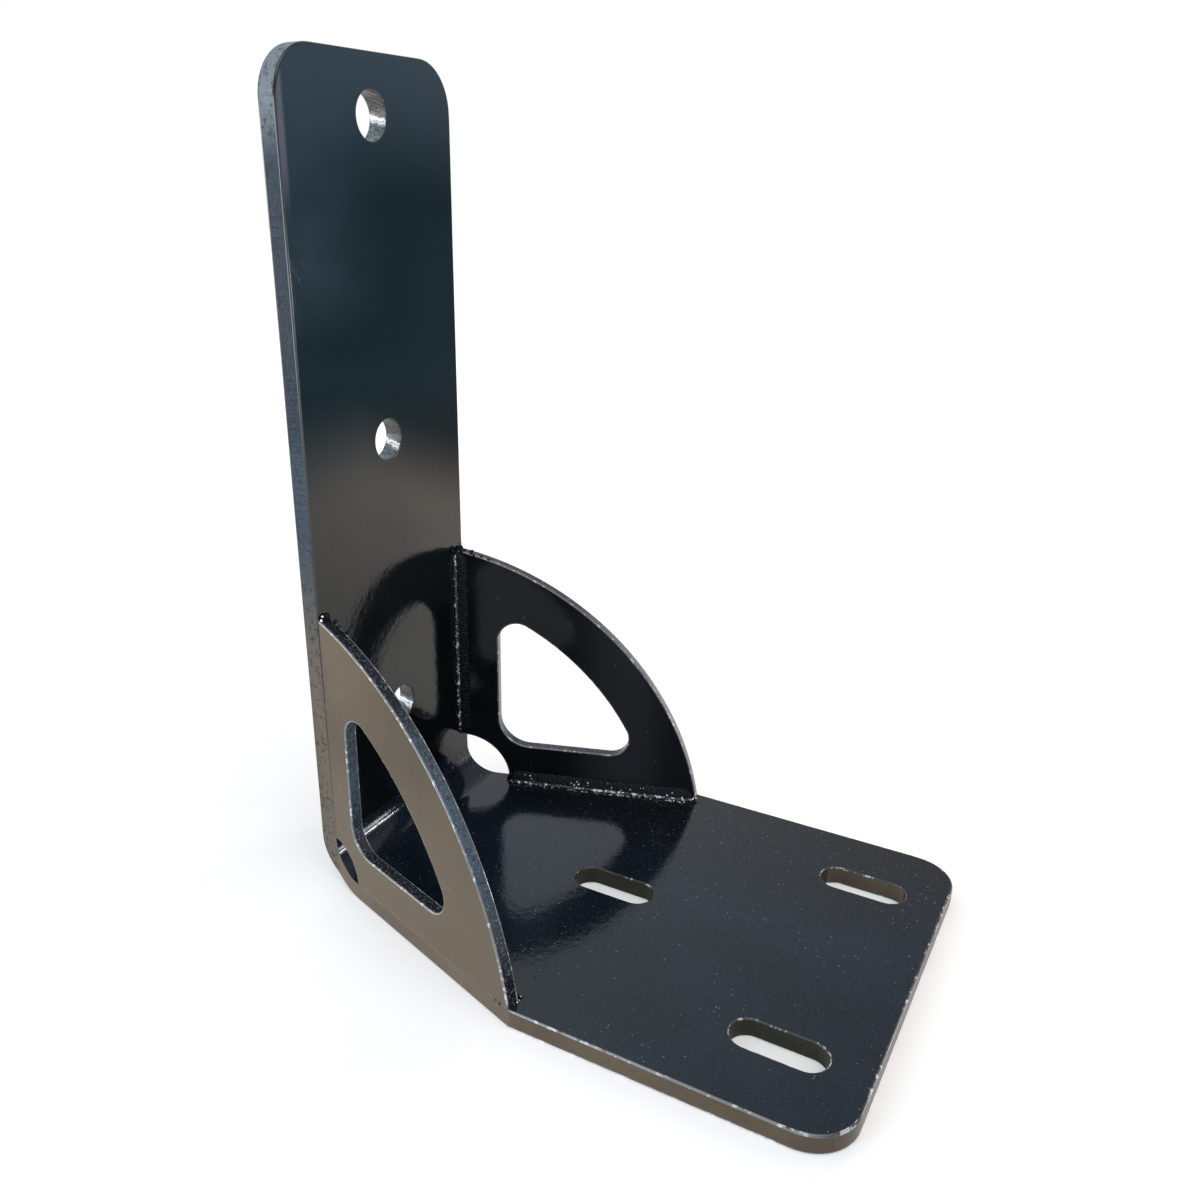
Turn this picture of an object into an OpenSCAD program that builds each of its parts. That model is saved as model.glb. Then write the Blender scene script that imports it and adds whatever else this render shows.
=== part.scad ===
// Welded awning bracket: a plate folded into an upright and a flared base, two windowed gussets and their fillet welds.
// The origin is on the ground under the middle of the bracket; the base points to -Y and the upright stands at the back.

/* [Folded plate] */
// Thickness of the folded plate
plate_t = 6; // [4:0.5:8]
// Width of the upright
upright_w = 75; // [60:1:90]
// Height of the upright, from the underside of the base
upright_h = 245; // [220:1:320]
// Radius of the upright's top corners
upright_corner_r = 14; // [4:0.5:25]
// Length of the base, from the back of the upright to its front edge
base_len = 180; // [170:1:230]
// Width of the base in front of the gussets
base_w = 130; // [115:1:170]
// Length of the straight-sided front part of the base
front_len = 92; // [80:1:105]
// Radius of the base's front corners
base_corner_r = 13.5; // [4:0.5:25]
// Outer radius of the fold
fold_r = 17; // [10:0.5:20]

/* [Upright holes] */
// Diameter of the top hole
top_hole_d = 13; // [8:0.5:18]
// Diameter of the middle and the low hole
hole_d = 12.5; // [8:0.5:18]
// Height of the low hole above the underside of the base
low_hole_z = 50; // [35:0.5:60]
// Distance from the top edge down to the top hole; the middle hole is halfway between the other two
top_hole_gap = 16; // [12:0.5:30]

/* [Base slots] */
// Length of each slot, end to end
slot_len = 26.5; // [18:0.5:32]
// Width of each slot
slot_w = 11; // [7:0.5:14]
// Distance between the two front slots
front_slot_gap = 80; // [60:1:90]
// Distance from the front edge to the middle of the front slots
front_slot_inset = 25; // [20:0.5:35]
// Distance from the front slots back to the middle of the rear slot
rear_slot_gap = 68; // [50:1:80]

/* [Both gussets] */
// Thickness of each gusset
gusset_t = 4; // [3:0.5:6]
// Radius of each window's two pointed ends
window_tip_r = 7; // [3:0.5:8]

/* [Left gusset] */
// Height above the base
left_h = 86.5; // [70:0.5:110]
// Radius of the curved outer edge
left_arc_r = 111; // [100:0.5:180]
// Distance from the upright to the window
left_back_gap = 10.5; // [8:0.5:18]
// Distance from the base up to the window
left_base_gap = 12.5; // [8:0.5:18]
// Width of the rim between the window and the curved edge
left_rim_w = 19.5; // [10:0.5:22]
// Radius of the window's square corner
left_corner_r = 9; // [3:0.5:14]
// Radius of the notch that clears the fold
left_notch_r = 11.5; // [10:0.5:20]

/* [Right gusset] */
// Height above the base
right_h = 88.5; // [70:0.5:110]
// Radius of the curved outer edge
right_arc_r = 109.5; // [100:0.5:180]
// Distance from the upright to the window
right_back_gap = 13.5; // [8:0.5:18]
// Distance from the base up to the window
right_base_gap = 14.5; // [8:0.5:18]
// Width of the rim between the window and the curved edge
right_rim_w = 17; // [10:0.5:22]
// Radius of the window's square corner
right_corner_r = 11; // [3:0.5:14]
// Radius of the notch that clears the fold
right_notch_r = 17; // [10:0.5:20]

/* [Fillet welds] */
// Leg of each weld on the faces that it joins
weld_leg = 4; // [2:0.1:5]
// Distance from one ripple of a weld to the next
ripple_pitch = 1.5; // [1.2:0.1:3]
// Depth of the ripples
ripple_depth = 0.16; // [0.05:0.01:0.4]

/* [Hidden] */
$fn = 96;
coat = [0.13, 0.14, 0.16];
gusset_coat = [0.17, 0.17, 0.18];
weld_coat = [0.22, 0.23, 0.25];
// Room that a cutter reaches past the face it cuts
cut = 1;
// How far a window's round ends reach past its long side, so that the two arcs cross
tip_lap = 0.02;
back_y = base_len/2;
face_y = back_y - plate_t;
front_y = -base_len/2;
flare_y = front_y + front_len;
top_hole_z = upright_h - top_hole_gap;
// The flare runs from the upright's front face to the straight front part, and each gusset stands on it
flare_side = (base_w - upright_w)/2;
flare_run = face_y - flare_y;
flare_angle = atan2(flare_side, flare_run);
flare_len = norm([flare_side, flare_run]);
// How far the gusset's inner face reaches back past its outer face, to meet the upright
mitre = gusset_t*tan(flare_angle);
// Each window's distance from the upright and from the base, its rim and its corner, and the notch
left_cuts = [left_back_gap, left_base_gap, left_rim_w, left_corner_r, left_notch_r];
right_cuts = [right_back_gap, right_base_gap, right_rim_w, right_corner_r, right_notch_r];
// Centre line of the welds, a little behind the corner so that their faces are low
weld_back = weld_leg*0.6;
gusset_inner_x = upright_w/2 - gusset_t/cos(flare_angle);

// Side outline of the folded plate: x is the depth and y is the height
module fold_profile() {
    translate([face_y, fold_r]) square([plate_t, upright_h - fold_r]);
    translate([front_y, 0]) square([base_len - fold_r, plate_t]);
    intersection() {
        translate([back_y - fold_r, 0]) square(fold_r);
        translate([back_y - fold_r, fold_r]) difference() {
            circle(fold_r);
            circle(fold_r - plate_t);
        }
    }
}

// Outline of the bracket seen from above: upright, flare and straight front with round corners
module plan_outline() {
    corner_x = base_w/2 - base_corner_r;
    corner_y = front_y + base_corner_r;
    translate([-upright_w/2, face_y]) square([upright_w, plate_t]);
    polygon([[-upright_w/2, face_y], [-base_w/2, flare_y], [base_w/2, flare_y], [upright_w/2, face_y]]);
    translate([-base_w/2, corner_y]) square([base_w, flare_y - corner_y]);
    translate([-corner_x, front_y]) square([2*corner_x, base_corner_r]);
    for (side = [-1, 1]) translate([side*corner_x, corner_y]) circle(base_corner_r);
}

// Cuts one top corner of the upright to its radius
module top_corner_cut(side) {
    r = upright_corner_r;
    translate([side*(upright_w/2 - r), back_y + cut, upright_h - r]) rotate([90, 0, 0]) difference() {
        translate([side > 0 ? 0 : -r - cut, 0, 0]) cube([r + cut, r + cut, plate_t + 2*cut]);
        translate([0, 0, -cut]) cylinder(h = plate_t + 4*cut, r = r);
    }
}

// Hole through the upright, at a height on its middle line
module upright_hole(height, d) {
    translate([0, back_y + cut, height]) rotate([90, 0, 0]) cylinder(h = plate_t + 2*cut, d = d);
}

// Slot through the base that runs to the front, round its middle
module base_slot(x, y) {
    half = (slot_len - slot_w)/2;
    translate([x, y, -cut]) {
        for (end = [-1, 1]) translate([0, end*half, 0]) cylinder(h = plate_t + 2*cut, d = slot_w);
        translate([-slot_w/2, -half, 0]) cube([slot_w, 2*half, plate_t + 2*cut]);
    }
}

module folded_plate() {
    front_slot_y = front_y + front_slot_inset;
    color(coat) difference() {
        intersection() {
            translate([-base_w/2, 0, 0]) rotate([90, 0, 90]) linear_extrude(base_w) fold_profile();
            linear_extrude(upright_h) plan_outline();
        }
        for (side = [-1, 1]) top_corner_cut(side);
        upright_hole(low_hole_z, hole_d);
        upright_hole((low_hole_z + top_hole_z)/2, hole_d);
        upright_hole(top_hole_z, top_hole_d);
        for (side = [-1, 1]) base_slot(side*front_slot_gap/2, front_slot_y);
        base_slot(0, front_slot_y + rear_slot_gap);
    }
}

// Centre of a gusset's curved edge, from the corner of the upright and the base
function arc_centre(h, arc_r) =
    let (chord = norm([flare_len, h]), drop = sqrt(arc_r^2 - (chord/2)^2))
    [flare_len/2 - drop*h/chord, h/2 - drop*flare_len/chord];

// Window of a gusset: a triangle with round corners whose long side follows the curved edge
module window_outline(centre, outer_r, x0, z0, r) {
    t = window_tip_r;
    inner_r = outer_r - t + tip_lap;
    top_z = centre.y + sqrt(inner_r^2 - (x0 + t - centre.x)^2);
    end_x = centre.x + sqrt(inner_r^2 - (z0 + t - centre.y)^2);
    top_angle = atan2(top_z - centre.y, x0 + t - centre.x);
    end_angle = atan2(z0 + t - centre.y, end_x - centre.x);
    top_ray = [cos(top_angle), sin(top_angle)];
    end_ray = [cos(end_angle), sin(end_angle)];
    polygon([[x0, z0 + r], [x0, top_z], centre + outer_r*top_ray, centre + outer_r*end_ray,
             [end_x, z0], [x0 + r, z0]]);
    translate([x0 + r, z0 + r]) circle(r);
    translate([x0 + t, top_z]) circle(t);
    translate([end_x, z0 + t]) circle(t);
    translate(centre) intersection() {
        circle(outer_r, $fn = 240);
        polygon([inner_r*top_ray, inner_r*end_ray, 1.3*outer_r*end_ray, 1.3*outer_r*top_ray]);
    }
}

// Face of a gusset: x runs along the flare from the upright and y is the height above the base
module gusset_outline(h, arc_r, cuts) {
    centre = arc_centre(h, arc_r);
    difference() {
        intersection() {
            translate([-mitre - cut, 0]) square(arc_r + mitre + cut);
            translate(centre) circle(arc_r, $fn = 240);
        }
        window_outline(centre, arc_r - cuts[2], cuts[0], cuts[1], cuts[3]);
        circle(cuts[4]);
    }
}

// Right gusset, set on the flare with its outer face flush and its back edge cut to the upright
module gusset(h, arc_r, cuts) {
    difference() {
        translate([upright_w/2, face_y, plate_t]) rotate([0, 0, flare_angle - 90]) rotate([90, 0, 0])
            linear_extrude(gusset_t) gusset_outline(h, arc_r, cuts);
        translate([0, face_y, 0]) cube([base_w, plate_t, upright_h]);
    }
}

module left_gusset() {
    color(gusset_coat) mirror([1, 0, 0]) gusset(left_h, left_arc_r, left_cuts);
}

module right_gusset() {
    color(gusset_coat) gusset(right_h, right_arc_r, right_cuts);
}

// Height of a weld's face above its centre line: round at both ends and rippled between them
function weld_r(face_r, run, at) =
    let (cap = weld_leg, short = max(0, cap - at, cap - run + at)/cap)
    (face_r - ripple_depth*pow(cos(180*at/ripple_pitch), 2))*sqrt(max(0, 1 - short^2));

// Fillet weld along +Z, in the corner between the +X direction and the direction at an angle from it
module weld(run, corner_angle) {
    steps = ceil(run/ripple_pitch)*4;
    half = corner_angle/2;
    face_r = norm([weld_leg + weld_back*cos(half), weld_back*sin(half)]);
    reach = 3*weld_leg;
    intersection() {
        translate([-weld_back*cos(half), -weld_back*sin(half), 0]) rotate_extrude()
            polygon([[0, 0], for (i = [0:steps]) [weld_r(face_r, run, run*i/steps), run*i/steps], [0, run]]);
        linear_extrude(run) polygon([[0, 0], [reach, 0], reach*[1, 1]*1.2, reach*[cos(corner_angle), sin(corner_angle)]]);
    }
}

// Weld between the right gusset and the upright, from the notch to the top of the gusset
module upright_weld(notch_r, h) {
    translate([gusset_inner_x, face_y, plate_t + notch_r]) rotate([0, 0, 180])
        weld(h - notch_r, 90 + flare_angle);
}

// Weld between the right gusset and the base, from the notch to the end of the flare
module base_weld(notch_r) {
    translate([gusset_inner_x, face_y, plate_t]) rotate([0, 0, flare_angle - 90]) translate([notch_r, 0, 0])
        rotate([0, 90, 0]) rotate([0, 0, 180]) weld(flare_len - notch_r, 90);
}

module left_upright_weld() {
    color(weld_coat) mirror([1, 0, 0]) upright_weld(left_notch_r, left_h);
}

module right_upright_weld() {
    color(weld_coat) upright_weld(right_notch_r, right_h);
}

module left_base_weld() {
    color(weld_coat) mirror([1, 0, 0]) base_weld(left_notch_r);
}

module right_base_weld() {
    color(weld_coat) base_weld(right_notch_r);
}

folded_plate();
left_gusset();
right_gusset();
left_upright_weld();
right_upright_weld();
left_base_weld();
right_base_weld();
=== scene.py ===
"""Looks of a black powder-coated welded awning bracket on a pale studio floor."""
import math
import random

import bmesh
import bpy
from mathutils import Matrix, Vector, noise


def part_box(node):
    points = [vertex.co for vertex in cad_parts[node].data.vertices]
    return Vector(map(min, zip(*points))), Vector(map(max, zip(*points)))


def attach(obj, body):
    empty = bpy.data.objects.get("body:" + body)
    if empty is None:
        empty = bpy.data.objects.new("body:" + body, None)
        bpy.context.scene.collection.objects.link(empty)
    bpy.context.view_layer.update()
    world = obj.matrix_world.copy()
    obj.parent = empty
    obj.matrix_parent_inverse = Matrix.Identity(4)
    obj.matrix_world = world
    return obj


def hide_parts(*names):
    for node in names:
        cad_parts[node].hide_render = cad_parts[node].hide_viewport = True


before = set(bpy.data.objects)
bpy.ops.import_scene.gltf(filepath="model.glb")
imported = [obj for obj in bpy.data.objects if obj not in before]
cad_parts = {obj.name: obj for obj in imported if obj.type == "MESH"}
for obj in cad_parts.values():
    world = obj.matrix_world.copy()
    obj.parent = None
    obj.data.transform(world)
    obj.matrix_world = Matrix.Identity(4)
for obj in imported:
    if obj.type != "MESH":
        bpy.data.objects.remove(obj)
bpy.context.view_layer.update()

# Sizes of the bracket, in metres, as in its construction
PLATE_T = 0.006
GUSSET_T = 0.004
UPRIGHT_W = 0.075
FLARE_Y = 0.002
FOLD_R = 0.017
WELD_LEG = 0.004
HOLE_Z = 0.050
HOLE_PITCH = 0.0895

# Lines that cross the front slots, the rear slot and both windows
FRONT_CUT_Y = -0.065
REAR_CUT_Y = 0.001
WINDOW_CUT_Z = 0.035

# Zones that hold the holes, the slots and the base's round corners
HOLES_WITHIN_X = 0.020
SLOTS_WITHIN_X = 0.0465
SLOTS_BEFORE_Y = 0.020
CORNER_ZONE = 0.014

# Limits for telling faces and edges apart
NEAR = 0.001
AT_SEAM = 0.0001
FLAT_WITHIN = math.radians(0.5)
SHARP_FROM = math.radians(15)
ARRIS_FROM = math.radians(35)

# Widths of the rounded arrises, and the shares of them along holes, slots, free edges and seams
PLATE_ROUND = 0.0011
GUSSET_ROUND = 0.0005
HOLE_SHARE = 0.2
SLOT_SHARE = 0.4
FREE_SHARE = 0.6
PLATE_SEAM_SHARE = 0.1
GUSSET_SEAM_SHARE = 0.15

# The beads lie mostly on the gusset, with shorter legs on the upright and the base
UPRIGHT_LEG = 0.0015
BASE_LEG = 0.0024
RING_STEP = 0.00018
RING_POINTS = 14
RIPPLE_PITCH = 0.0011
CROWN = 0.0004
RIPPLE = 0.0001
LIP = 0.00018
LIP_WIDTH = 0.07
LUMPS = 0.0002

# Depths of the bumps in the coat
PEEL_DEPTH = 0.00006
ROUGH_DEPTH = 0.0003
PUNCH_DEPTH = 0.0002
MOTTLE = 0.25

# Material slots of the plate and of a gusset, in the order in which add_bracket lists their coats
ON_UPRIGHT, ON_BASE, UPRIGHT_EDGE, BASE_EDGE, HOLE, SLOT = range(6)
OUTER, INNER, RIM = range(3)

PLATE_LOW, PLATE_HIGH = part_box("folded_plate")
FACE_Y = PLATE_HIGH.y - PLATE_T
FOLD_Y = PLATE_HIGH.y - FOLD_R
FLARE_SIDE = PLATE_HIGH.x - UPRIGHT_W / 2
FLARE_ANGLE = math.atan2(FLARE_SIDE, FACE_Y - FLARE_Y)
FLARE_LEN = math.hypot(FLARE_SIDE, FACE_Y - FLARE_Y)
INNER_X = UPRIGHT_W / 2 - GUSSET_T / math.cos(FLARE_ANGLE)
GUSSET_TOP = {side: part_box(f"{word}_gusset")[1].z for side, word in ((-1, "left"), (1, "right"))}

# At the right gusset: up, along its foot towards the front, out of its outer face and inwards,
# and the corner where its inner face meets the upright and the base
UP = Vector((0, 0, 1))
FLARE = Vector((math.sin(FLARE_ANGLE), -math.cos(FLARE_ANGLE), 0))
OUTWARD = Vector((math.cos(FLARE_ANGLE), math.sin(FLARE_ANGLE), 0))
INWARD = -OUTWARD
INNER_CORNER = Vector((INNER_X, FACE_Y, PLATE_T))

# The camera stands where the photograph was taken from
CAMERA_AT = Vector((-0.2592, -0.1227, 0.2114))
CAMERA_AZIMUTH = math.radians(-59.42)
CAMERA_ELEVATION = math.radians(22.30)
IMAGE_PX = 1200
FOCAL_PX = 1082.5
CENTRE_PX = (539.4, 629.2)
SENSOR_MM = 36


def put(name, data):
    """A new object, linked to the scene."""
    thing = bpy.data.objects.new(name, data)
    bpy.context.scene.collection.objects.link(thing)
    return thing


def add_camera():
    data = bpy.data.cameras.new("camera")
    data.sensor_width = SENSOR_MM
    data.lens = FOCAL_PX * SENSOR_MM / IMAGE_PX
    data.shift_x = (IMAGE_PX / 2 - CENTRE_PX[0]) / IMAGE_PX
    data.shift_y = (CENTRE_PX[1] - IMAGE_PX / 2) / IMAGE_PX
    data.clip_start = 0.01
    camera = put("camera", data)
    camera.location = CAMERA_AT
    camera.rotation_euler = (math.pi / 2 - CAMERA_ELEVATION, 0, CAMERA_AZIMUTH)
    bpy.context.scene.camera = camera


def add_lamp(name, at, target, size, watts, colour, mirrored=True):
    """An area lamp at one point, facing another. Unless mirrored, no surface shows its reflection."""
    data = bpy.data.lights.new(name, "AREA")
    data.shape = "RECTANGLE"
    data.size, data.size_y = size
    data.energy = watts
    data.color = colour
    lamp = put(name, data)
    lamp.location = at
    lamp.rotation_euler = (Vector(target) - Vector(at)).to_track_quat("-Z", "Y").to_euler()
    lamp.visible_glossy = mirrored


class Nodes:
    """A short way to build a node tree."""

    def __init__(self, tree):
        self.tree = tree
        self.tree.nodes.clear()

    def add(self, kind, **values):
        """A new node. Each value goes to the property of that name, or else to the input."""
        node = self.tree.nodes.new(kind)
        for key, value in values.items():
            if key in node.bl_rna.properties:
                setattr(node, key, value)
            else:
                node.inputs[key.replace("_", " ")].default_value = value
        return node

    def link(self, source, target):
        self.tree.links.new(source, target)

    def math(self, operation, a, b, clamp=False):
        """The result of a math node on two numbers or outputs."""
        node = self.add("ShaderNodeMath", operation=operation, use_clamp=clamp)
        for socket, value in zip(node.inputs, (a, b)):
            if isinstance(value, (int, float)):
                socket.default_value = value
            else:
                self.link(value, socket)
        return node.outputs[0]

    def times(self, a, b):
        return self.math("MULTIPLY", a, b)

    def fade(self, value, low, high, to_low=0.0, to_high=1.0):
        """to_low where the value is low, to_high where it is high, with a smooth step between."""
        node = self.add("ShaderNodeMapRange", interpolation_type="SMOOTHSTEP")
        for socket, number in zip(node.inputs[1:5], (low, high, to_low, to_high)):
            socket.default_value = number
        self.link(value, node.inputs[0])
        return node.outputs[0]

    def mix(self, factor, a, b):
        """Colour a where the factor is 0, colour b where it is 1."""
        node = self.add("ShaderNodeMix", data_type="RGBA")
        self.link(factor, node.inputs[0])
        for socket, value in zip(node.inputs[6:8], (a, b)):
            if isinstance(value, tuple):
                socket.default_value = (*value, 1)
            else:
                self.link(value, socket)
        return node.outputs[2]

    def stretched(self, coords, scale):
        node = self.add("ShaderNodeMapping")
        node.inputs["Scale"].default_value = scale
        self.link(coords, node.inputs["Vector"])
        return node.outputs[0]

    def noise(self, coords, scale, detail=2.0, roughness=0.5):
        node = self.add("ShaderNodeTexNoise", Scale=scale, Detail=detail, Roughness=roughness)
        self.link(coords, node.inputs["Vector"])
        return node.outputs["Fac"]

    def along(self, coords, axis):
        parts = self.add("ShaderNodeSeparateXYZ")
        self.link(coords, parts.inputs[0])
        return parts.outputs[axis]

    def bump(self, height, strength, distance, normal=None):
        node = self.add("ShaderNodeBump", Strength=strength, Distance=distance)
        self.link(height, node.inputs["Height"])
        if normal is not None:
            self.link(normal, node.inputs["Normal"])
        return node.outputs[0]


def new_material(name, **values):
    """A material with one Principled shader, whose inputs take the values."""
    material = bpy.data.materials.new(name)
    material.use_nodes = True
    n = Nodes(material.node_tree)
    coords = n.add("ShaderNodeTexCoord").outputs["Object"]
    shader = n.add("ShaderNodeBsdfPrincipled", **values)
    n.link(shader.outputs[0], n.add("ShaderNodeOutputMaterial").inputs[0])
    return material, n, coords, shader


def specks(n, coords, scale, amount, low, high):
    """Round specks, one at most to a cell, in loose clusters."""
    cells = n.add("ShaderNodeTexVoronoi", Scale=scale)
    n.link(coords, cells.inputs["Vector"])
    chance = n.add("ShaderNodeSeparateColor")
    n.link(cells.outputs["Color"], chance.inputs[0])
    cluster = n.fade(n.noise(coords, 32, 3), 0.38, 0.66, 0.12, 1.0)
    wanted = n.math("GREATER_THAN", chance.outputs[0], n.math("SUBTRACT", 1.0, n.times(cluster, amount)))
    size = n.fade(chance.outputs[1], 0.0, 1.0, low, high)
    return n.times(wanted, n.math("LESS_THAN", cells.outputs["Distance"], size))


def scratches(n, coords, turn):
    """Short hair-thin scratches lying roughly one way."""
    node = n.add("ShaderNodeMapping", Rotation=turn, Scale=(1300, 55, 55))
    n.link(coords, node.inputs["Vector"])
    lines = n.math("GREATER_THAN", n.noise(node.outputs[0], 1, 1), 0.755)
    return n.times(lines, n.fade(n.noise(coords, 60, 2), 0.52, 0.6))


def graded(n, coords, base, steps):
    """base, turned step by step towards other colours: each step is (axis, start, end, tone)."""
    for axis, start, end, tone in steps:
        base = n.mix(n.fade(n.along(coords, axis), start, end), base, tone)
    return base


def dusted(n, coords, base, rough, dust):
    """Pale dull specks in two sizes, and faint scratches two ways."""
    fine = specks(n, coords, 1050, dust, 0.09, 0.22)
    large = specks(n, coords, 420, dust * 0.3, 0.06, 0.11)
    marks = n.math("MAXIMUM", fine, large)
    base = n.mix(n.times(marks, 0.7), base, (0.30, 0.31, 0.32))
    lines = n.math("MAXIMUM", scratches(n, coords, (0.3, 0.2, 0.9)), scratches(n, coords, (0.1, 0.5, 2.3)))
    base = n.mix(n.times(lines, min(0.25, dust)), base, (0.12, 0.12, 0.12))
    return base, n.math("ADD", rough, n.times(marks, 0.4), clamp=True)


def coat(name, colour, roughness, specular=0.3, dust=0.0, cut_lines=0.0, peel=0.35, grit=0.0, gloss=None,
         painted_light_steps=(), painted_highlight_streaks=(), wear_and_glints=(), over=()):
    """Powder coat with orange peel and faint mottling; cut edges have grit and drag lines too.

    The first steps go to graded() and paint reflection and shade into the colour. On them lie streaks of
    painted highlight, each ((x0, x1), (z0, z1), tone), then patches, each (tone, scale, amount), which are
    worn coat on some coats and painted glints on others, then the steps in over, and the dust on top. gloss
    gives the weight of a clear coat.
    """
    material, n, coords, shader = new_material(name, Specular_IOR_Level=specular,
                                               Coat_Roughness=max(0.08, roughness - 0.04))
    clouds = n.noise(coords, 28, 4)
    grain = n.noise(coords, 900, 2)
    dark = tuple(c * (1 - MOTTLE) for c in colour)
    light = tuple(c * (1 + MOTTLE) for c in colour)
    base = graded(n, coords, n.mix(n.fade(clouds, 0.3, 0.7), dark, light), painted_light_steps)
    rough = n.math("ADD", n.fade(clouds, 0.25, 0.75, roughness - 0.02, roughness + 0.03),
                   n.fade(grain, 0.3, 0.7, -0.015, 0.02))
    for (x0, x1), (z0, z1), tone in painted_highlight_streaks:
        inside = n.times(n.fade(n.along(coords, "X"), x0, x1), n.fade(n.along(coords, "Z"), z0, z1))
        base = n.mix(inside, base, tone)
    for tone, scale, amount in wear_and_glints:
        patches = n.fade(n.noise(coords, scale, 2, 0.6), 0.54, 0.66)
        base = n.mix(n.times(patches, amount), base, tone)
    base = graded(n, coords, base, over)
    if dust:
        base, rough = dusted(n, coords, base, rough, dust)
    n.link(base, shader.inputs["Base Color"])
    n.link(rough, shader.inputs["Roughness"])

    skin = n.math("ADD", n.times(n.noise(coords, 420, 1), 0.7), n.times(n.noise(coords, 1500, 1), 0.3))
    normal = n.bump(skin, peel, PEEL_DEPTH)
    if grit:
        normal = n.bump(n.noise(coords, 1300, 3, 0.6), grit, ROUGH_DEPTH, normal)
    if cut_lines:
        lines = n.noise(n.stretched(coords, (25, 25, 900)), 1, 3, 0.6)
        normal = n.bump(lines, cut_lines, ROUGH_DEPTH, normal)
    n.link(normal, shader.inputs["Normal"])
    if gloss:
        n.link(gloss(n, coords), shader.inputs["Coat Weight"])
        n.link(normal, shader.inputs["Coat Normal"])
    return material


def hole_coat(name):
    """Wall of a punched hole: dark above, a white band across it and pale blue below, both painted
    reflection, dragged along the punch.
    """
    material, n, coords, shader = new_material(name, Roughness=0.22, Specular_IOR_Level=0.6)
    z = n.along(coords, "Z")
    from_below = n.math("MODULO", n.math("SUBTRACT", z, HOLE_Z - HOLE_PITCH / 2), HOLE_PITCH)
    height = n.math("SUBTRACT", from_below, HOLE_PITCH / 2)
    depth = n.math("SUBTRACT", n.along(coords, "Y"), FACE_Y)

    # The band of painted reflection leans along the hole, wanders a little, and lies lower in the middle hole
    # than in the top one
    wander = n.math("SUBTRACT", n.noise(n.stretched(coords, (1, 420, 700)), 1, 2), 0.5)
    line = n.math("SUBTRACT", height, n.times(depth, 0.30))
    line = n.math("ADD", n.math("ADD", line, n.times(wander, 0.0022)), n.fade(z, 0.16, 0.20, 0.0022, 0.0004))
    slanted = n.add("ShaderNodeCombineXYZ")
    n.link(n.times(line, 2400), slanted.inputs["Z"])
    n.link(n.times(depth, 260), slanted.inputs["Y"])
    drag = n.noise(slanted.outputs[0], 1, 3, 0.65)
    upper = n.mix(n.fade(drag, 0.44, 0.60), (0.008, 0.006, 0.006), (0.085, 0.075, 0.072))
    # Below the line the wall is pale blue and across it white: painted reflection
    lower = n.mix(n.fade(drag, 0.40, 0.6), (0.028, 0.040, 0.046), (0.13, 0.165, 0.18))
    reflection_band = n.mix(n.fade(drag, 0.38, 0.5), (0.10, 0.11, 0.12), (0.85, 0.86, 0.87))
    tone = n.mix(n.fade(line, -0.0026, -0.0016), lower, reflection_band)
    tone = n.mix(n.fade(line, -0.0008, 0.0002), tone, upper)
    n.link(tone, shader.inputs["Base Color"])
    n.link(n.bump(drag, 0.5, PUNCH_DEPTH), shader.inputs["Normal"])
    return material


def upright_gloss(n, coords):
    """The coat is glossier low on the upright, up to a line that falls towards the right."""
    right = n.math("MAXIMUM", n.math("ADD", n.along(coords, "X"), 0.014), 0.0)
    high = n.math("ADD", n.along(coords, "Z"), n.times(right, 0.42))
    low = n.fade(high, 0.125, 0.158, 0.74, 0.02)
    return n.times(low, n.fade(n.noise(coords, 22, 2), 0.3, 0.7, 0.85, 1.0))


def mesh_from(bm, name, materials, smooth=True):
    """The finished mesh of a bmesh, which is freed."""
    mesh = bpy.data.meshes.new(name)
    bm.to_mesh(mesh)
    bm.free()
    if smooth:
        mesh.polygons.foreach_set("use_smooth", [True] * len(mesh.polygons))
    for material in materials:
        mesh.materials.append(material)
    return mesh


def coated_copy(node, name, slots, choose, weigh, width, cuts):
    """The node's own solid with rounded arrises, its faces sorted into material slots, the last for arrises.

    The flat faces are parted only along the planes in cuts, which run through the holes.
    """
    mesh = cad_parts[node].data.copy()
    mesh.name = name
    if "custom_normal" in mesh.attributes:
        mesh.attributes.remove(mesh.attributes["custom_normal"])
    mesh.materials.clear()
    for material in slots:
        mesh.materials.append(material)
    bm = bmesh.new()
    bm.from_mesh(mesh)
    bmesh.ops.remove_doubles(bm, verts=bm.verts, dist=1e-6)
    for point, normal in cuts:
        whole = list(bm.verts) + list(bm.edges) + list(bm.faces)
        cut = bmesh.ops.bisect_plane(bm, geom=whole, dist=1e-6, plane_co=point, plane_no=normal)
        for part in cut["geom_cut"]:
            if isinstance(part, bmesh.types.BMEdge):
                part.seam = True
    bmesh.ops.dissolve_limit(bm, angle_limit=FLAT_WITHIN, verts=bm.verts, edges=bm.edges,
                             delimit={"SEAM"})
    bm.normal_update()
    for face in bm.faces:
        face.material_index = choose(face.normal, face.calc_center_median())
        face.smooth = True
    weight = bm.edges.layers.float.new("bevel_weight_edge")
    for edge in bm.edges:
        if edge.calc_face_angle(0) > ARRIS_FROM:
            edge[weight] = weigh((edge.verts[0].co + edge.verts[1].co) / 2)
        elif edge.calc_face_angle(0) > SHARP_FROM:
            edge.smooth = False
    bm.to_mesh(mesh)
    bm.free()
    piece = put(name, mesh)
    bevel = piece.modifiers.new("arris", "BEVEL")
    bevel.width = width
    bevel.segments = 4
    bevel.limit_method = "WEIGHT"
    bevel.use_clamp_overlap = False
    bevel.material = len(slots) - 1
    normals = piece.modifiers.new("flat_faces", "WEIGHTED_NORMAL")
    normals.weight = 90
    normals.keep_sharp = True
    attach(piece, "root")
    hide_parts(node)
    return piece


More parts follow.
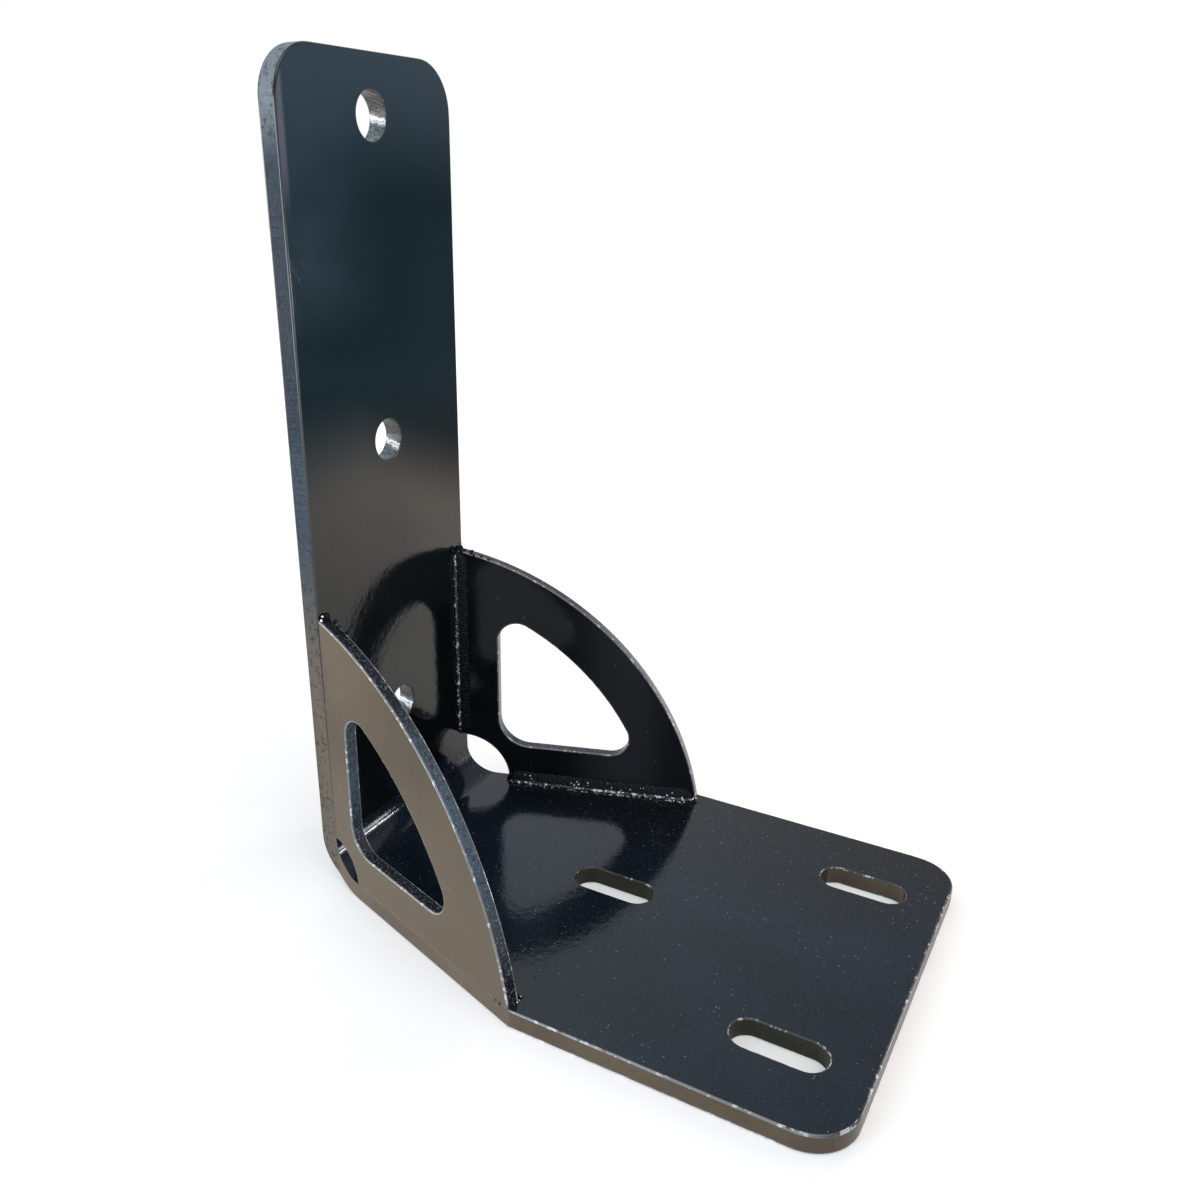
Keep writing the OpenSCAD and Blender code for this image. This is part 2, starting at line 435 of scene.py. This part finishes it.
def bead_mesh(name, start, along, side_a, side_b, run, seed):
    """Fillet weld laid in a corner, with fine ripples, a wandering toe and round ends.

    side_a and side_b are its legs, and it runs from start along a direction.
    """
    rng = random.Random(seed)
    shift = Vector((rng.uniform(0, 50), rng.uniform(0, 50), rng.uniform(0, 50)))
    rings = round(run / RING_STEP)
    cap = WELD_LEG * 0.9
    outward = (side_a.normalized() + side_b.normalized()).normalized()
    toe = 2 if side_a.z == 0 else RING_POINTS - 1
    bm = bmesh.new()
    last = None
    for i in range(rings + 1):
        v = run * i / rings
        wander = noise.noise(Vector((v * 160, 0, 0)) + shift)
        short = max(0.0, 1 - v / cap, 1 - (run - v) / cap)
        swell = math.sqrt(max(0.03, 1 - short * short))
        leg = (1 + 0.06 * wander) * swell
        corner = start + along * v
        ring = [bm.verts.new(corner - outward * 0.0001)]
        for j in range(RING_POINTS + 1):
            t = j / RING_POINTS
            bow = 4 * t * (1 - t)
            phase = v / RIPPLE_PITCH + 0.5 * bow + 0.6 * noise.noise(Vector((v * 260, t, 3)) + shift)
            ripple = abs(math.sin(math.pi * phase)) ** 0.7
            lip = LIP * (math.exp(-(t / LIP_WIDTH) ** 2) + math.exp(-((1 - t) / LIP_WIDTH) ** 2))
            lift = swell * (CROWN * bow + RIPPLE * ripple * bow ** 0.5 + lip)
            lift += swell * LUMPS * noise.noise(Vector((v * 1500, t * 7, 7)) + shift)
            point = corner + side_a * (leg * (1 - t)) + side_b * (leg * t) + outward * lift
            ring.append(bm.verts.new(point))
        if last:
            for j in range(len(ring)):
                k = (j + 1) % len(ring)
                face = bm.faces.new((last[j], last[k], ring[k], ring[j]))
                # Faces along the toe take the weld_toe coat, whose white patches are painted highlights
                face.material_index = 1 if abs(j - toe) < 2 else 0
        else:
            bm.faces.new(ring[::-1])
        last = ring
    bm.faces.new(last)
    bmesh.ops.recalc_face_normals(bm, faces=bm.faces)
    return mesh_from(bm, name, (weld_metal, weld_toe))


def add_bead(node, name, side, start, along, side_a, side_b, run, seed):
    """side is 1 for the right gusset and -1 for its mirror image."""
    mirror = Vector((side, 1, 1))
    mesh = bead_mesh(name, *(v * mirror for v in (start, along, side_a, side_b)), run, seed)
    piece = put(name, mesh)
    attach(piece, "root")
    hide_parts(node)


def add_drops(name, material, drops):
    """Small uneven drops: a list of centres and radii."""
    bm = bmesh.new()
    for point, radius in drops:
        made = bmesh.ops.create_icosphere(bm, subdivisions=2, radius=radius)
        for vert in made["verts"]:
            vert.co *= 1 + 0.25 * noise.noise(vert.co * 2200 + point * 900)
            vert.co = vert.co + point
    piece = put(name, mesh_from(bm, name, (material,)))
    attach(piece, "root")


def add_spatter():
    """Drops of weld metal thrown beside the beads and heaped at their ends, and white drops among them that
    are painted glints.
    """
    rng = random.Random(11)
    foot = Vector((UPRIGHT_W / 2, FACE_Y, PLATE_T)) + FLARE * (FLARE_LEN - 0.0004) + INWARD * GUSSET_T * 0.5
    dark, bright = [], []

    def throw(drops, side, point, smallest, largest):
        drops.append((point * Vector((side, 1, 1)), rng.uniform(smallest, largest)))

    for side in (-1, 1):
        head = Vector((UPRIGHT_W / 2 - GUSSET_T * 0.5, FACE_Y, GUSSET_TOP[side]))
        for _ in range(16):
            point = INNER_CORNER + FLARE * rng.uniform(0.02, 0.083)
            point += INWARD * (WELD_LEG + rng.uniform(0.0, 0.006))
            throw(dark, side, point, 0.00012, 0.00028)
        for _ in range(44):
            point = INNER_CORNER + FLARE * rng.triangular(0.022, 0.084, 0.06)
            point += INWARD * (BASE_LEG + rng.gauss(0.0006, 0.0002))
            throw(bright, side, point, 0.00014, 0.00026)
        for _ in range(20):
            s = rng.uniform(0.022, 0.084)
            t = rng.uniform(0.25, 0.8)
            point = INNER_CORNER + FLARE * s + UP * (WELD_LEG * (1 - t)) + INWARD * (BASE_LEG * t)
            throw(bright, side, point + (UP + INWARD) * 0.0003, 0.00014, 0.00034)
        for _ in range(14):
            point = foot + FLARE * rng.uniform(-0.0060, 0.0005) + INWARD * rng.uniform(-0.0016, 0.0045)
            throw(dark, side, point, 0.0004, 0.0009)
        for _ in range(14):
            point = foot + FLARE * rng.uniform(-0.006, 0.0004) + INWARD * rng.uniform(-0.0014, 0.004)
            throw(bright, side, point + UP * 0.0005, 0.00015, 0.0003)
        for _ in range(7):
            point = head + Vector((rng.uniform(-0.005, 0.0012), -0.0003, rng.uniform(-0.0012, 0.0008)))
            throw(dark, side, point, 0.0005, 0.0009)
        for _ in range(20):
            s = 0.012 * rng.random() ** 1.5
            point = head + FLARE * s - UP * (0.2 * s + 5.0 * s * s) + INWARD * rng.uniform(-0.0010, 0.0026)
            throw(dark, side, point, 0.0003, 0.0007)
        for _ in range(3):
            point = head + Vector((rng.uniform(0.0008, 0.0016), -0.0008, rng.uniform(-0.0006, 0.0016)))
            throw(bright, side, point, 0.0002, 0.00036)
    add_drops("weld_spatter", weld_metal, dark)
    # The white drops are painted glints
    add_drops("painted_glint_spatter", painted_glint_metal, bright)


def add_floor():
    """A white disc that glows more away from the bracket, so that the floor fades to white."""
    material, n, coords, shader = new_material("floor_paint", Roughness=0.9, Specular_IOR_Level=0.1,
                                               Base_Color=(0.88, 0.88, 0.88, 1),
                                               Emission_Color=(1, 1, 1, 1))
    length = n.add("ShaderNodeVectorMath", operation="LENGTH")
    n.link(coords, length.inputs[0])
    path = n.add("ShaderNodeLightPath")
    seen = n.math("MAXIMUM", path.outputs["Is Camera Ray"],
                  n.math("MAXIMUM", path.outputs["Is Glossy Ray"], path.outputs["Is Transmission Ray"]))
    glow = n.fade(length.outputs["Value"], 0.15, 1.2, 0.15, 0.6)
    n.link(n.math("ADD", glow, n.times(seen, 0.12)), shader.inputs["Emission Strength"])
    bm = bmesh.new()
    bmesh.ops.create_circle(bm, cap_ends=True, segments=96, radius=6.0)
    floor = put("floor", mesh_from(bm, "floor", (material,), smooth=False))
    floor.location.z = -0.0001


def light_world():
    """White low down, cooler and dimmer above, brightest high at the back."""
    world = bpy.data.worlds.new("studio")
    bpy.context.scene.world = world
    world.use_nodes = True
    n = Nodes(world.node_tree)
    way = n.add("ShaderNodeTexCoord").outputs["Generated"]
    z = n.along(way, "Z")
    high = n.times(n.fade(z, 0.26, 0.60, 0.60, 1.05), n.fade(n.along(way, "Y"), 0.05, 0.45, 0.62, 1.0))
    high = n.times(high, n.fade(z, 0.72, 0.92, 1.0, 0.4))
    above = n.fade(z, 0.14, 0.24)
    background = n.add("ShaderNodeBackground")
    n.link(n.mix(above, (1.0, 1.0, 1.0), (0.84, 0.92, 1.0)), background.inputs["Color"])
    n.link(n.math("ADD", n.times(above, high), n.math("SUBTRACT", 1.0, above)), background.inputs["Strength"])
    n.link(background.outputs[0], n.add("ShaderNodeOutputWorld").inputs[0])


# Painted light on the upright's face: it darkens towards the right and below as painted shade, is pale blue
# at the top as painted reflection, and a pale streak by the left edge near the top is a painted highlight
upright_face = coat("upright_face", (0.013, 0.028, 0.040), 0.09, specular=0.03, dust=0.004, peel=0.7,
                    gloss=upright_gloss,
                    painted_light_steps=(("X", -0.032, 0.008, (0.0012, 0.011, 0.018)),
                           ("Z", 0.205, 0.245, (0.028, 0.047, 0.064)),
                           ("Z", 0.190, 0.165, (0.001, 0.012, 0.018)),
                           ("Z", 0.158, 0.118, (0.003, 0.005, 0.006))),
                    painted_highlight_streaks=(((-0.0342, -0.0356), (0.200, 0.222), (0.09, 0.095, 0.13)),))
# The base's coat turns darker over its right half: painted shade
base_face = coat("base_face", (0.0055, 0.0115, 0.021), 0.09, specular=0.35, dust=0.20, peel=0.75,
                 painted_light_steps=(("X", 0.0, 0.06, (0.0045, 0.0053, 0.0070)),),
                 wear_and_glints=(((0.024, 0.028, 0.036), 1700, 0.8),))
# Painted light on the plate's cut edges: a pale blue band at the top is a painted highlight, and the warm
# brown low down is a painted reflection
plate_edge = coat("plate_edge", (0.008, 0.022, 0.041), 0.34, specular=0.12, cut_lines=0.8, grit=0.5,
                  painted_light_steps=(("Z", 0.214, 0.236, (0.16, 0.19, 0.215)),
                         ("Z", 0.150, 0.135, (0.028, 0.045, 0.066)),
                         ("Z", 0.125, 0.070, (0.115, 0.094, 0.071))),
                  wear_and_glints=(((0.004, 0.008, 0.014), 620, 0.6), ((0.03, 0.05, 0.07), 900, 0.5)))
# The warm taupe of the base's side faces is a painted reflection of warm light
side_edge = coat("side_edge", (0.090, 0.066, 0.043), 0.32, specular=0.25, cut_lines=0.2,
                 wear_and_glints=(((0.05, 0.04, 0.03), 1100, 0.4),))
hole_wall = hole_coat("hole_wall")
slot_wall = coat("slot_wall", (0.030, 0.031, 0.019), 0.5, specular=0.2, cut_lines=0.3,
                 wear_and_glints=(((0.012, 0.012, 0.008), 900, 0.7),))
# Painted highlight on the plate's arrises: pale along the left side of the base and darker elsewhere, broken
# by dark patches and pale glint patches; from the flare line back they are warm brown, painted reflection,
# and above the base near black
plate_arris = coat("plate_arris", (0.20, 0.205, 0.21), 0.14, specular=0.7,
                   painted_light_steps=(("X", -0.0645, -0.0615, (0.045, 0.047, 0.052)),),
                   wear_and_glints=(((0.02, 0.022, 0.026), 190, 0.8), ((0.60, 0.61, 0.63), 420, 0.8)),
                   over=(("Y", FLARE_Y - 0.002, FLARE_Y + 0.001, (0.040, 0.031, 0.021)),
                         ("Z", 0.0095, 0.0105, (0.004, 0.006, 0.010))))
# A paler band across the inner face of the right gusset is a painted reflection
gusset_inner = coat("gusset_inner", (0.006, 0.007, 0.010), 0.09, specular=0.16, dust=0.02, peel=0.5,
                    painted_light_steps=(("X", 0.044, 0.052, (0.024, 0.025, 0.030)),
                           ("X", 0.053, 0.059, (0.009, 0.010, 0.013))))
# The warm taupe of the gussets' outer faces, paler low down, is a painted reflection of warm light
gusset_outer = coat("gusset_outer", (0.068, 0.048, 0.026), 0.32, specular=0.24, dust=0.05,
                    painted_light_steps=(("Z", 0.062, 0.022, (0.090, 0.068, 0.042)),))
# The pale blue of the gussets' rims is a painted reflection, darkened low down and at the top as painted
# shade
gusset_edge = coat("gusset_edge", (0.060, 0.084, 0.116), 0.24, specular=0.32, dust=0.35, cut_lines=0.15,
                   grit=0.4,
                   painted_light_steps=(("Z", 0.045, 0.012, (0.005, 0.005, 0.006)),
                          ("Z", 0.066, 0.080, (0.010, 0.012, 0.016))),
                   wear_and_glints=(((0.010, 0.015, 0.022), 800, 0.6), ((0.15, 0.18, 0.21), 1300, 0.6)))
# The pale gusset arrises with bright patches are painted highlights and glints, warm brown at the foot
gusset_arris = coat("gusset_arris", (0.14, 0.145, 0.15), 0.16, specular=1.0,
                    wear_and_glints=(((0.6, 0.61, 0.62), 500, 0.8),),
                    over=(("Z", 0.0072, 0.0065, (0.040, 0.030, 0.018)),))
weld_metal = coat("weld_metal", (0.0015, 0.0018, 0.005), 0.24, specular=0.15, grit=1.0,
                  wear_and_glints=(((0.026, 0.030, 0.046), 1500, 0.9),))
# The white patches along the weld toe are painted highlights
weld_toe = coat("weld_toe", (0.02, 0.02, 0.025), 0.2, specular=0.8, grit=0.6,
                wear_and_glints=(((0.90, 0.90, 0.93), 700, 1.0),))
# White drops that stand for glints on the spatter: painted highlights
painted_glint_metal = coat("painted_glint_metal", (0.95, 0.96, 0.98), 0.25, specular=1.0)


def plate_choice(normal, centre):
    """The material slot for a face of the plate."""
    in_fold = centre.y > FOLD_Y - NEAR and centre.z < FOLD_R + NEAR
    if abs(normal.x) > 0.6 and abs(centre.x) > UPRIGHT_W / 2 - NEAR / 2:
        return UPRIGHT_EDGE if centre.z > FOLD_R + NEAR else BASE_EDGE
    if centre.z > FOLD_R and not in_fold:
        if abs(normal.y) > 0.9:
            return ON_UPRIGHT
        outside = abs(centre.x) > HOLES_WITHIN_X or centre.z > PLATE_HIGH.z - 2 * NEAR
        return UPRIGHT_EDGE if outside else HOLE
    if in_fold or abs(normal.z) > 0.9:
        return ON_BASE
    outside = abs(centre.x) > PLATE_HIGH.x - CORNER_ZONE or centre.y < PLATE_LOW.y + NEAR
    return BASE_EDGE if outside else SLOT


def plate_weight(middle):
    """How much of the full rounding an arris gets: least along the seams, where a gusset stands flush."""
    if middle.y > FOLD_Y and middle.z < FOLD_R:
        outside = math.hypot(middle.y - FOLD_Y, middle.z - FOLD_R) > FOLD_R - 3 * NEAR
    else:
        outside = middle.y > PLATE_HIGH.y - NEAR or middle.z < NEAR
    side = 1 if middle.x > 0 else -1
    above_gusset = middle.y > FACE_Y - NEAR and middle.z > GUSSET_TOP[side] - NEAR
    if abs(middle.x) < HOLES_WITHIN_X and FOLD_R < middle.z < PLATE_HIGH.z - 2 * NEAR:
        return HOLE_SHARE
    among_slots = abs(middle.x) < SLOTS_WITHIN_X and PLATE_LOW.y + 2 * NEAR < middle.y < SLOTS_BEFORE_Y
    if among_slots and middle.z < PLATE_T + NEAR:
        return SLOT_SHARE
    free = outside or above_gusset or middle.y < FLARE_Y - NEAR / 2
    return FREE_SHARE if free else PLATE_SEAM_SHARE


def gusset_choice(side):
    def choose(normal, centre):
        facing = normal.dot(OUTWARD * Vector((side, 1, 1)))
        if facing > 0.9:
            return OUTER
        return INNER if facing < -0.9 else RIM
    return choose


def gusset_weight(middle):
    at_seam = middle.z < PLATE_T + AT_SEAM or middle.y > FACE_Y - AT_SEAM
    return GUSSET_SEAM_SHARE if at_seam else 1.0


def add_bracket():
    """The plate and the gussets with their coats, and the four beads."""
    cuts = [((0, 0, 0), (1, 0, 0)), ((0, FRONT_CUT_Y, 0), (0, 1, 0)), ((0, REAR_CUT_Y, 0), (0, 1, 0))]
    cuts += [((0, 0, z), (0, 0, 1)) for z in sorted(set(GUSSET_TOP.values()))]
    plate = coated_copy("folded_plate", "plate_skin",
                        (upright_face, base_face, plate_edge, side_edge, hole_wall, slot_wall, plate_arris),
                        plate_choice, plate_weight, PLATE_ROUND, cuts)
    for side, word in ((-1, "left"), (1, "right")):
        gusset = coated_copy(f"{word}_gusset", f"{word}_gusset_skin",
                             (gusset_outer, gusset_inner, gusset_edge, gusset_arris),
                             gusset_choice(side), gusset_weight, GUSSET_ROUND,
                             [((0, 0, WINDOW_CUT_Z), (0, 0, 1))])
        low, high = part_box(f"{word}_upright_weld")
        notch = low.z - PLATE_T
        add_bead(f"{word}_upright_weld", f"{word}_upright_bead", side, INNER_CORNER + UP * notch, UP,
                 Vector((-UPRIGHT_LEG, 0, 0)), FLARE * WELD_LEG, high.z - low.z, 21 + side)
        add_bead(f"{word}_base_weld", f"{word}_base_bead", side, INNER_CORNER + FLARE * notch, FLARE,
                 UP * WELD_LEG, INWARD * BASE_LEG, FLARE_LEN - notch, 31 + side)


add_camera()
add_bracket()
add_spatter()
add_floor()
light_world()
add_lamp("top_soft", (-0.30, -0.35, 1.15), (0, 0, 0.08), (1.0, 1.0), 5.0, (1.0, 0.98, 0.95))
add_lamp("warm_back", (-0.45, 0.95, 0.12), (-0.05, 0.04, 0.05), (0.7, 0.35), 5.5, (1.0, 0.84, 0.66))
add_lamp("front_strip", (0.695, -0.815, 0.09), (-0.02, 0.08, 0.01), (0.25, 0.08), 1.8, (0.95, 0.98, 1.0))
add_lamp("warm_pool", (0.45, -0.12, 0.30), (0.37, -0.11, 0), (0.12, 0.12), 0.8, (1.0, 0.66, 0.34),
         mirrored=False)
add_lamp("cool_left", (-0.95, 0.50, 0.22), (-0.04, 0.06, 0.10), (0.45, 0.45), 4.5, (0.72, 0.87, 1.0))

scene = bpy.context.scene
scene.view_settings.view_transform = "Standard"
